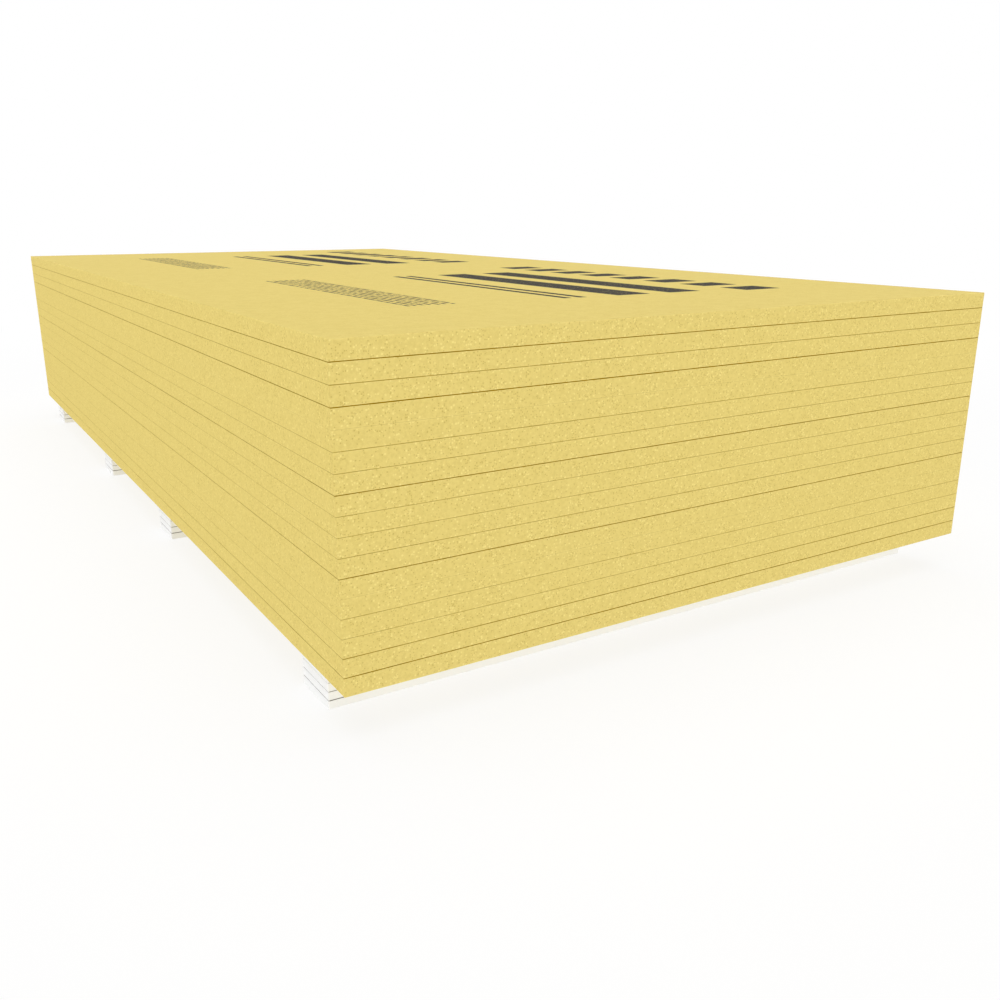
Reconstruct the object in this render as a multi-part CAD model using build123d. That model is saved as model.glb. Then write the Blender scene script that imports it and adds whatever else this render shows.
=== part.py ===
from build123d import *
import os

# A stack of gypsum sheathing sheets on four spacers of sawn board strips.
# X runs across the sheets, Y along their length, and Z = 0 is the floor.

# Sheets
sheet_width = 1219.2
sheet_length = 2438.4
sheet_thickness = 26.0
sheet_count = 17
# Largest rounding of an arris. Each joint has its own share of it, from under the top sheet down:
# two softly rounded sheets show an open joint, and two crisp ones a hairline.
arris_radius = 1.0
joint_arris_shares = (
    1.00, 0.60, 0.95, 0.15, 0.40, 0.55, 1.00, 0.40,
    0.40, 0.60, 0.90, 0.12, 0.40, 0.35, 0.60, 0.90,
)
outer_arris_share = 0.50

# Spacers: strips sawn from thinner board and laid on each other
strip_width = 92.0
strip_thickness = 13.0
strip_arris_radius = 0.7
strips_per_spacer = 5
strip_end_inset = 15.0
# Centre lines of the spacers, from the near end of the sheets
spacer_place_shares = (0.058, 0.400, 0.641, 0.950)

# Sizes that follow
strip_length = sheet_width - 2 * strip_end_inset
spacer_height = strips_per_spacer * strip_thickness


def eased_board(width, length, thickness, lower_radius, upper_radius):
    """A flat board standing on Z = 0, with its lower and upper arrises rounded all the way round."""
    board = Box(width, length, thickness, align=(Align.CENTER, Align.CENTER, Align.MIN))
    lower_arrises = board.faces().sort_by(Axis.Z)[0].edges()
    board = fillet(lower_arrises, lower_radius)
    upper_arrises = board.faces().sort_by(Axis.Z)[-1].edges()
    return fillet(upper_arrises, upper_radius)


def joint_radius(joints_above):
    """Rounding of the arrises that meet with so many sheets above them: none and all are the outer ones."""
    if joints_above in (0, sheet_count):
        return outer_arris_share * arris_radius
    return joint_arris_shares[(joints_above - 1) % len(joint_arris_shares)] * arris_radius


def sheet(number):
    """One sheet of the stack, counted from 1 at the bottom."""
    sheets_above = sheet_count - number
    board = eased_board(
        sheet_width,
        sheet_length,
        sheet_thickness,
        joint_radius(sheets_above + 1),
        joint_radius(sheets_above),
    )
    return Pos(Z=spacer_height + (number - 1) * sheet_thickness) * board


def spacer_strip(place_share, number):
    """One strip of a spacer, counted from 1 on the floor."""
    board = eased_board(strip_length, strip_width, strip_thickness, strip_arris_radius, strip_arris_radius)
    along = (place_share - 1 / 2) * sheet_length
    return Pos(Y=along, Z=(number - 1) * strip_thickness) * board


os.makedirs("parts", exist_ok=True)

for number in range(1, sheet_count + 1):
    export_step(sheet(number), f"parts/sheet_{number:02d}.step")

for spacer, place_share in enumerate(spacer_place_shares, start=1):
    for number in range(1, strips_per_spacer + 1):
        export_step(spacer_strip(place_share, number), f"parts/spacer_{spacer}_strip_{number}.step")
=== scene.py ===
import bpy
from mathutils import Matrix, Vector


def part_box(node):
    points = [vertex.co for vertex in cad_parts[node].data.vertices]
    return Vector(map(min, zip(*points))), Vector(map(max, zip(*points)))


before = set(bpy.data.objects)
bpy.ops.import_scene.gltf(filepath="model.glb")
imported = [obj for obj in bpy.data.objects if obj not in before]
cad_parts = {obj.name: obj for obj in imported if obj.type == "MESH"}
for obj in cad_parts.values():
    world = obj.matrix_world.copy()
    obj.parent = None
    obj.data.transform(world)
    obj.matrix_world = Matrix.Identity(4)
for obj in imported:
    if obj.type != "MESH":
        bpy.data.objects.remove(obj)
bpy.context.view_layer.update()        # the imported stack, as the fixed frame
sheetNames = sorted(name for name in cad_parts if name.startswith("sheet_"))
stripNames = sorted(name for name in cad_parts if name.startswith("spacer_"))
topSheet = sheetNames[-1]
print("frame:", len(sheetNames), "sheets and", len(stripNames), "spacer strips")


def wire(tree, socket, value):
    if isinstance(value, bpy.types.NodeSocket):
        tree.links.new(value, socket)
    else:
        socket.default_value = value


def addNode(tree, kind, inputs=None, **settings):
    node = tree.nodes.new(kind)
    for name, value in settings.items():
        setattr(node, name, value)
    for name, value in (inputs or {}).items():
        wire(tree, node.inputs[name], value)
    return node


def calc(tree, operation, *values, clamp=False):
    node = addNode(tree, "ShaderNodeMath", operation=operation, use_clamp=clamp)
    for socket, value in zip(node.inputs, values):
        wire(tree, socket, value)
    return node.outputs[0]


def remap(tree, value, fromLow, fromHigh, toLow=0.0, toHigh=1.0):
    node = addNode(tree, "ShaderNodeMapRange", interpolation_type="SMOOTHSTEP")
    names = ("Value", "From Min", "From Max", "To Min", "To Max")
    for name, given in zip(names, (value, fromLow, fromHigh, toLow, toHigh)):
        wire(tree, node.inputs[name], given)
    return node.outputs["Result"]


def noise(tree, place, scale, detail=2.0):
    node = addNode(tree, "ShaderNodeTexNoise", {"Vector": place, "Scale": scale, "Detail": detail})
    return node.outputs[0]


def axes(tree, place):
    return addNode(tree, "ShaderNodeSeparateXYZ", {"Vector": place}).outputs


def blendColour(tree, share, first, second):
    node = addNode(tree, "ShaderNodeMix", data_type="RGBA")
    wire(tree, node.inputs[0], share)
    wire(tree, node.inputs[6], first)        # 6 and 7 are the node's colour sockets
    wire(tree, node.inputs[7], second)
    return node.outputs[2]


def newGroup(name, inputs, outputs):
    tree = bpy.data.node_groups.new(name, "ShaderNodeTree")
    for label in inputs:
        kind = "NodeSocketVector" if label == "Position" else "NodeSocketFloat"
        tree.interface.new_socket(label, in_out="INPUT", socket_type=kind)
    for label in outputs:
        tree.interface.new_socket(label, in_out="OUTPUT", socket_type="NodeSocketFloat")
    entry = tree.nodes.new("NodeGroupInput").outputs
    leave = tree.nodes.new("NodeGroupOutput").inputs
    return tree, entry, leave


def useGroup(tree, group, **values):
    node = addNode(tree, "ShaderNodeGroup", node_tree=group)
    for label, value in values.items():
        wire(tree, node.inputs[label], value)
    return node.outputs


mottleLay = {
    "detail": 3.0,
    "clear": 0.35,        # noise levels from which the clouds begin, and at which they are full
    "full": 0.70,
}


# mottle: faint clouds of shade
def makeMottle(lay):
    tree, entry, leave = newGroup("mottle", ["Position", "CloudsPerMetre"], ["Mask"])
    clouds = noise(tree, entry["Position"], entry["CloudsPerMetre"], lay["detail"])
    wire(tree, leave["Mask"], remap(tree, clouds, lay["clear"], lay["full"]))
    return tree


speckLay = {
    "sizeSpread": 0.7,        # how much smaller the smallest dot is than the largest
    "core": 0.4,        # share of a dot's reach that has its full strength
    "patchesPerMetre": 32.0,
    "patchDetail": 1.0,
    "patchLow": 0.36,        # noise levels of the thin patches and of the thick ones
    "patchHigh": 0.64,
    "thin": 0.5,        # dots in the thin patches and in the thick ones, against the mean
    "thick": 1.5,
}


# specks: one dot in some of the cells, each of its own size, thick in some patches and thin in others
def makeSpecks(lay):
    tree, entry, leave = newGroup("specks", ["Position", "CellsPerMetre", "Share", "Size"], ["Mask"])
    cells = addNode(tree, "ShaderNodeTexVoronoi",
                    {"Vector": entry["Position"], "Scale": entry["CellsPerMetre"]}).outputs
    lots = addNode(tree, "ShaderNodeSeparateColor", {"Color": cells["Color"]}).outputs
    grown = calc(tree, "MULTIPLY_ADD", lots["Green"], lay["sizeSpread"], 1.0 - lay["sizeSpread"])
    reach = calc(tree, "MULTIPLY", entry["Size"], grown)
    dot = remap(tree, cells["Distance"], reach, calc(tree, "MULTIPLY", reach, lay["core"]))
    patches = noise(tree, entry["Position"], lay["patchesPerMetre"], lay["patchDetail"])
    patch = remap(tree, patches, lay["patchLow"], lay["patchHigh"], lay["thin"], lay["thick"])
    shown = calc(tree, "LESS_THAN", lots["Red"], calc(tree, "MULTIPLY", entry["Share"], patch))
    wire(tree, leave["Mask"], calc(tree, "MULTIPLY", dot, shown))
    return tree


fibreLay = {
    "length": 0.030,
    "thickness": 0.0010,
    "turns": [(0.2, 0.1, 0.4), (0.3, 1.2, 1.3), (1.1, 0.2, 2.2)],
    "detail": 1.0,
    "edge": 0.1,        # noise levels over which a strand fades in
}


# fibres: fine strands that cross each other every way
def makeFibres(lay):
    tree, entry, leave = newGroup("fibres", ["Position", "Fewness"], ["Mask"])
    full = calc(tree, "ADD", entry["Fewness"], lay["edge"])
    drawnOut = (lay["length"], lay["thickness"], lay["thickness"])
    strands = 0.0
    for turn in lay["turns"]:
        drawn = addNode(tree, "ShaderNodeMapping",
                        {"Vector": entry["Position"], "Rotation": turn, "Scale": drawnOut},
                        vector_type="TEXTURE")
        streak = noise(tree, drawn.outputs[0], 1.0, lay["detail"])
        strands = calc(tree, "MAXIMUM", strands, remap(tree, streak, entry["Fewness"], full))
    wire(tree, leave["Mask"], strands)
    return tree


jointLay = {
    "wavesPerMetre": 22.0,        # a line is a little wider in some places than in others
    "waveLow": 0.3,
    "waveHigh": 0.7,
    "narrow": 0.88,
    "wide": 1.12,
    "fade": 0.25,        # share of the half width over which a line's edge fades, each way
    "rubsPerMetre": 60.0,
    "rubLow": 0.35,        # noise levels of the whole arrises and of the rubbed ones
    "rubHigh": 0.65,
}


# the painted shade in each joint of a stack, as a dark line, and the rubbed arrises on both sides of
# it
def makeJointShadeAndRubs(lay):
    tree, entry, leave = newGroup(
        "jointShadeAndRubs", ["Position", "Base", "Pitch", "HalfWidth", "Rub"], ["Dark", "Rubbed"])
    height = axes(tree, entry["Position"])["Z"]
    layer = calc(tree, "DIVIDE", calc(tree, "SUBTRACT", height, entry["Base"]), entry["Pitch"])
    away = calc(tree, "ABSOLUTE", calc(tree, "SUBTRACT", layer, calc(tree, "ROUND", layer)))
    away = calc(tree, "MULTIPLY", away, entry["Pitch"])
    waves = noise(tree, entry["Position"], lay["wavesPerMetre"])
    uneven = remap(tree, waves, lay["waveLow"], lay["waveHigh"], lay["narrow"], lay["wide"])
    reach = calc(tree, "MULTIPLY", entry["HalfWidth"], uneven)
    outer = calc(tree, "MULTIPLY", reach, 1.0 + lay["fade"])
    inner = calc(tree, "MULTIPLY", reach, 1.0 - lay["fade"])
    # painted shade: dark within a line's half width of each joint plane
    dark = remap(tree, away, outer, inner)
    rubs = noise(tree, entry["Position"], lay["rubsPerMetre"])
    patchy = remap(tree, rubs, lay["rubLow"], lay["rubHigh"])
    rubbed = calc(tree, "MULTIPLY", remap(tree, away, entry["Rub"], 0.0), patchy)
    wire(tree, leave["Dark"], dark)
    wire(tree, leave["Rubbed"], calc(tree, "SUBTRACT", rubbed, dark, clamp=True))
    return tree


mottle = makeMottle(mottleLay)
specks = makeSpecks(speckLay)
fibres = makeFibres(fibreLay)
jointShadeAndRubs = makeJointShadeAndRubs(jointLay)
print("shader groups made")

sheetLook = {
    "colour": (0.817, 0.652, 0.207, 1),
    "shade": (0.690, 0.530, 0.145, 1),        # of the mottling
    "darkSpeck": (0.400, 0.240, 0.000, 1),
    "paleSpeck": (0.985, 0.835, 0.320, 1),
    # the dark line in each joint is painted shade
    "jointDark": (0.360, 0.215, 0.000, 1),
    "mottleScale": 240,
    "mottle": 0.42,
    "darkCells": 380,
    "darkShare": 0.30,
    "darkSize": 0.60,
    "dark": 0.38,
    "paleCells": 320,
    "paleShare": 0.30,
    "paleSize": 0.68,
    "pale": 0.53,
    "fewness": 0.60,
    "fibre": 0.12,
    "broadShare": 0.45,        # the broad faces are smoother than the edges
    "jointShadeHalfWidth": 0.00070,        # of the most open joint
    "joints": [        # how open each joint is, and so how strong the painted shade in it, from the top down
        0.85, 0.55, 1.0, 0.1, 0.48, 0.4, 0.82, 0.38,
        0.36, 0.42, 0.82, 0.1, 0.38, 0.35, 0.72, 0.9,
    ],
    "endShare": 1.0,
    "sideShare": 0.65,        # the joints are tighter along the sides than at the ends, so the painted shade in them is fainter there
    "rub": 0.0025,
    "rubbed": 0.25,
    "roughness": (0.80, 0.92),        # of the strands and of the matt ground between them
    "bump": 0.15,
}

stripLook = {
    "colour": (0.915, 0.912, 0.885, 1),
    "endColour": (0.965, 0.964, 0.958, 1),        # freshly sawn, without facing
    "shade": (0.910, 0.906, 0.890, 1),
    "darkSpeck": (0.720, 0.705, 0.660, 1),
    "paleSpeck": (0.960, 0.958, 0.945, 1),
    "jointDark": (0.140, 0.132, 0.115, 1),        # painted shade in the joints between the strips
    "mottleScale": 90,
    "mottle": 0.3,
    "darkCells": 620,
    "darkShare": 0.16,
    "darkSize": 0.5,
    "dark": 0.35,
    "paleCells": 500,
    "paleShare": 0.2,
    "paleSize": 0.5,
    "pale": 0.3,
    "fewness": 0.66,
    "fibre": 0.10,
    "broadShare": 0.8,
    "jointShadeHalfWidth": 0.00072,
    "joints": [0.15, 0.3, 0.65, 1.0],
    "endShare": 0.5,
    "sideShare": 1.0,
    "rub": 0.0020,
    "rubbed": 0.15,
    "roughness": (0.86, 0.95),
    "bump": 0.15,
}

boardLook = {        # what the sheets and the strips have in common
    "endReach": 0.0015,        # a surface as near as this to a board's end is the end
    "steep": 0.5,        # how far a face looks up or down, for an edge and for a broad face
    "flat": 0.9,
    "specular": 0.01,
    "bumpHeight": 0.0004,
}

printLook = {
    "ink": (0.075, 0.071, 0.060, 1),
    "start": -1.06,        # where the first block begins along the sheet
    "repeat": 1.14,        # from one block to the next
    "soft": 0.0012,
    "creep": 0.003,        # how far the ink spreads along the fibres
    "creepScale": 700.0,
    "bars": [        # across from and to, along from and to
        (0.145, 0.215, 0.13, 0.77),
        (0.030, 0.100, 0.13, 0.77),
        (-0.050, -0.035, 0.13, 0.77),
        (-0.080, -0.065, 0.13, 0.77),
    ],
    "dashRow": (0.300, 0.385, 0.10, 0.96),
    "dashPitch": 0.111,
    "dashShare": 0.62,
    "fineRows": (-0.360, -0.270, 0.14, 0.78),
    "finePitch": 0.0128,
    "fineShare": 0.46,
    "fineScale": 95.0,
    "gapBelow": 0.40,        # noise levels of the gaps and of the strokes in the fine rows
    "strokeAbove": 0.44,
    "skin": 0.0002,        # the ink lies no deeper than this under the top face
    "worn": 0.35,
}


def stackOf(names, count, lengthAxis):
    low = min(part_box(name)[0].z for name in names)
    high = max(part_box(name)[1].z for name in names)
    end = max(getattr(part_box(name)[1], lengthAxis) for name in names)
    return {"base": low, "top": high, "count": count, "pitch": (high - low) / count,
            "lengthAxis": lengthAxis, "end": end}


sheetStack = stackOf(sheetNames, len(sheetNames), "y")
nearStrips = [name for name in stripNames if name.startswith("spacer_1_")]
stripStack = stackOf(stripNames, len(nearStrips), "x")


# how strong the painted shade in each joint is, by how open the joint is, read from the height
def jointShadeStrength(tree, height, stack, joints):
    tall = stack["pitch"] * stack["count"]
    share = calc(tree, "DIVIDE", calc(tree, "SUBTRACT", height, stack["base"]), tall)
    node = addNode(tree, "ShaderNodeValToRGB", {"Fac": share})
    stops = node.color_ramp.elements
    node.color_ramp.interpolation = "CONSTANT"
    stops.remove(stops[1])
    stops[0].color = (0, 0, 0, 1)
    for number, strength in enumerate(list(reversed(joints)) + [0.0], start=1):
        stops.new((number - 0.5) / stack["count"]).color = (strength, strength, strength, 1)
    return node.outputs["Color"]


def band(tree, value, low, high, soft):
    middle = (low + high) / 2
    half = (high - low) / 2
    off = calc(tree, "ABSOLUTE", calc(tree, "SUBTRACT", value, middle))
    return remap(tree, off, half + soft, half - soft)


# plain marks printed on the top sheet, in two like blocks
def printMarks(tree, place, look):
    edge = noise(tree, place, look["creepScale"])
    spread = calc(tree, "MULTIPLY_ADD", edge, look["creep"], -look["creep"] / 2)
    spots = axes(tree, place)
    across = calc(tree, "ADD", spots["X"], spread)
    along = calc(tree, "ADD", calc(tree, "SUBTRACT", spots["Y"], look["start"]), spread)
    along = calc(tree, "MODULO", along, look["repeat"])
    soft = look["soft"]

    def patch(area):
        return calc(tree, "MULTIPLY", band(tree, across, area[0], area[1], soft),
                    band(tree, along, area[2], area[3], soft))

    marks = 0.0
    for bar in look["bars"]:
        marks = calc(tree, "MAXIMUM", marks, patch(bar))
    step = calc(tree, "FRACT", calc(tree, "DIVIDE", calc(tree, "SUBTRACT", along, look["dashRow"][2]),
                                    look["dashPitch"]))
    dashes = band(tree, step, 0.0, look["dashShare"], soft / look["dashPitch"])
    marks = calc(tree, "MAXIMUM", marks, calc(tree, "MULTIPLY", patch(look["dashRow"]), dashes))
    line = calc(tree, "DIVIDE", calc(tree, "SUBTRACT", across, look["fineRows"][0]), look["finePitch"])
    rows = band(tree, calc(tree, "FRACT", line), 0.0, look["fineShare"], soft / look["finePitch"])
    spot = addNode(tree, "ShaderNodeCombineXYZ", {"X": along, "Y": calc(tree, "FLOOR", line)})
    strokes = noise(tree, spot.outputs[0], look["fineScale"], 0.0)
    broken = remap(tree, strokes, look["gapBelow"], look["strokeAbove"])
    fine = calc(tree, "MULTIPLY", calc(tree, "MULTIPLY", rows, broken), patch(look["fineRows"]))
    marks = calc(tree, "MAXIMUM", marks, fine)
    upper = calc(tree, "GREATER_THAN", spots["Z"], sheetStack["top"] - look["skin"])
    return calc(tree, "MULTIPLY", marks, upper)


def boardMaterial(name, look, stack, printed=None):
    material = bpy.data.materials.new(name)
    material.use_nodes = True
    tree = material.node_tree
    shader = tree.nodes["Principled BSDF"]
    place = addNode(tree, "ShaderNodeTexCoord").outputs["Object"]
    spots = axes(tree, place)

    cloud = useGroup(tree, mottle, Position=place, CloudsPerMetre=look["mottleScale"])["Mask"]
    dark = useGroup(tree, specks, Position=place, CellsPerMetre=look["darkCells"],
                    Share=look["darkShare"], Size=look["darkSize"])["Mask"]
    pale = useGroup(tree, specks, Position=place, CellsPerMetre=look["paleCells"],
                    Share=look["paleShare"], Size=look["paleSize"])["Mask"]
    strands = useGroup(tree, fibres, Position=place, Fewness=look["fewness"])["Mask"]

    lengthwise = calc(tree, "ABSOLUTE", spots[stack["lengthAxis"].upper()])
    atEnd = calc(tree, "GREATER_THAN", lengthwise, stack["end"] - boardLook["endReach"])
    # how strong the painted joint shade is here, fainter along the sides than at the ends
    strength = calc(tree, "MULTIPLY", jointShadeStrength(tree, spots["Z"], stack, look["joints"]),
                    remap(tree, atEnd, 0.0, 1.0, look["sideShare"], look["endShare"]))
    width = calc(tree, "SQRT", strength)
    marks = useGroup(tree, jointShadeAndRubs, Position=place, Base=stack["base"], Pitch=stack["pitch"],
                     HalfWidth=calc(tree, "MULTIPLY", width, look["jointShadeHalfWidth"]), Rub=look["rub"])

    facing = axes(tree, addNode(tree, "ShaderNodeNewGeometry").outputs["Normal"])["Z"]
    grain = remap(tree, calc(tree, "ABSOLUTE", facing), boardLook["steep"], boardLook["flat"],
                  1.0, look["broadShare"])
    colour = blendColour(tree, atEnd, look["colour"], look.get("endColour", look["colour"]))
    for mask, amount, tint in ((cloud, "mottle", "shade"), (strands, "fibre", "paleSpeck"),
                               (pale, "pale", "paleSpeck"), (dark, "dark", "darkSpeck"),
                               (marks["Rubbed"], "rubbed", "paleSpeck")):
        share = calc(tree, "MULTIPLY", calc(tree, "MULTIPLY", mask, look[amount]), grain)
        colour = blendColour(tree, share, colour, look[tint])
    if printed:
        ink = printMarks(tree, place, printed)
        cover = calc(tree, "SUBTRACT", 1.0, calc(tree, "MULTIPLY", pale, printed["worn"]))
        colour = blendColour(tree, calc(tree, "MULTIPLY", ink, cover), colour, printed["ink"])
    # painted shade: the dark line in each joint, laid over everything else
    colour = blendColour(tree, calc(tree, "MULTIPLY", marks["Dark"], width), colour, look["jointDark"])
    wire(tree, shader.inputs["Base Color"], colour)
    wire(tree, shader.inputs["Roughness"], remap(tree, strands, 1.0, 0.0, *look["roughness"]))
    shader.inputs["Specular IOR Level"].default_value = boardLook["specular"]

    raised = calc(tree, "ADD", pale, strands)
    bump = addNode(tree, "ShaderNodeBump", {"Height": raised, "Strength": look["bump"],
                                            "Distance": boardLook["bumpHeight"]})
    wire(tree, shader.inputs["Normal"], bump.outputs["Normal"])
    return material


def dress(name, material):
    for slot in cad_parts[name].material_slots:
        slot.material = material


sheetFacing = boardMaterial("sheetFacing", sheetLook, sheetStack)
printedFacing = boardMaterial("printedFacing", sheetLook, sheetStack, printLook)
spacerBoard = boardMaterial("spacerBoard", stripLook, stripStack)
for name in sheetNames:
    dress(name, printedFacing if name == topSheet else sheetFacing)
for name in stripNames:
    dress(name, spacerBoard)
print("materials on", len(sheetNames) + len(stripNames), "nodes")

plainWhite = (1, 1, 1, 1)

floorLook = {
    "size": 60.0,
    "bounce": (0.88, 0.88, 0.87, 1),        # what the floor gives back to the stack
    "glow": 0.95,        # share of the floor that is lit from below, as a light table is
    "glowLevel": 0.85,        # about as bright as the open floor
    "whiteShare": 0.82,        # of the floor as seen that is plain white, the rest takes the shadow
    "fadeFrom": 2.0,
    "fadeTo": 4.0,
}

lightLook = {        # a light tent: a bright belt all round, and a soft ceiling
    "belt": 2.18,
    "beltTop": 0.32,        # heights are sines of the elevation
    "between": 0.1,
    "ceiling": 2.11,
    "ceilingFrom": 0.82,
    "soft": 0.12,
}

cameraLook = {
    "lens": 35.05,
    "sensor": 36,
    "eye": (-1.0186, -2.2428, 0.6426),
    "aim": (-0.0076, -0.6135, 0.0739),
}


def seenRay(tree):
    path = addNode(tree, "ShaderNodeLightPath").outputs
    rays = calc(tree, "MAXIMUM", path["Is Camera Ray"], path["Is Glossy Ray"])
    return calc(tree, "MAXIMUM", rays, path["Is Transmission Ray"])


def mixShaders(tree, share, first, second):
    return addNode(tree, "ShaderNodeMixShader", {0: share, 1: first, 2: second}).outputs[0]


def emission(tree, strength):
    return addNode(tree, "ShaderNodeEmission", {"Color": plainWhite, "Strength": strength}).outputs[0]


def makeFloor(look):
    half = look["size"] / 2
    corners = [(-half, -half, 0), (half, -half, 0), (half, half, 0), (-half, half, 0)]
    mesh = bpy.data.meshes.new("floor")
    mesh.from_pydata(corners, [], [(0, 1, 2, 3)])
    floor = bpy.data.objects.new("floor", mesh)
    bpy.context.scene.collection.objects.link(floor)
    material = bpy.data.materials.new("floorWhite")
    material.use_nodes = True
    tree = material.node_tree
    tree.nodes.remove(tree.nodes["Principled BSDF"])
    place = addNode(tree, "ShaderNodeTexCoord").outputs["Object"]
    away = addNode(tree, "ShaderNodeVectorMath", {0: place}, operation="LENGTH").outputs["Value"]
    plain = remap(tree, away, look["fadeFrom"], look["fadeTo"], look["whiteShare"], 1.0)
    given = addNode(tree, "ShaderNodeBsdfDiffuse", {"Color": look["bounce"]}).outputs[0]
    bounce = mixShaders(tree, look["glow"], given, emission(tree, look["glowLevel"]))
    shadowed = addNode(tree, "ShaderNodeBsdfDiffuse", {"Color": plainWhite}).outputs[0]
    shown = mixShaders(tree, plain, shadowed, emission(tree, 1.0))
    mixed = mixShaders(tree, seenRay(tree), bounce, shown)
    wire(tree, tree.nodes["Material Output"].inputs["Surface"], mixed)
    mesh.materials.append(material)


def makeWorld(look):
    world = bpy.data.worlds.new("studio")
    bpy.context.scene.world = world
    world.use_nodes = True
    tree = world.node_tree
    light = tree.nodes["Background"]
    light.inputs["Color"].default_value = plainWhite
    height = axes(tree, addNode(tree, "ShaderNodeTexCoord").outputs["Generated"])["Z"]
    soft = look["soft"]
    belt = remap(tree, height, look["beltTop"] - soft, look["beltTop"] + soft,
                 look["belt"] - look["between"], 0.0)
    ceiling = remap(tree, height, look["ceilingFrom"] - soft, look["ceilingFrom"] + soft,
                    look["between"], look["ceiling"])
    wire(tree, light.inputs["Strength"], calc(tree, "ADD", belt, ceiling))
    white = addNode(tree, "ShaderNodeBackground", {"Color": plainWhite, "Strength": 1.0}).outputs[0]
    mixed = mixShaders(tree, seenRay(tree), light.outputs[0], white)
    wire(tree, tree.nodes["World Output"].inputs["Surface"], mixed)


def turned(place, aim):
    return (Vector(aim) - Vector(place)).to_track_quat("-Z", "Y").to_euler()


def makeCamera(look):
    data = bpy.data.cameras.new("camera")
    data.lens = look["lens"]
    data.sensor_width = look["sensor"]
    camera = bpy.data.objects.new("camera", data)
    camera.location = look["eye"]
    camera.rotation_euler = turned(look["eye"], look["aim"])
    bpy.context.scene.collection.objects.link(camera)
    bpy.context.scene.camera = camera


makeFloor(floorLook)
makeWorld(lightLook)
makeCamera(cameraLook)
bpy.context.scene.view_settings.view_transform = "Standard"
print("floor, light and camera in place")
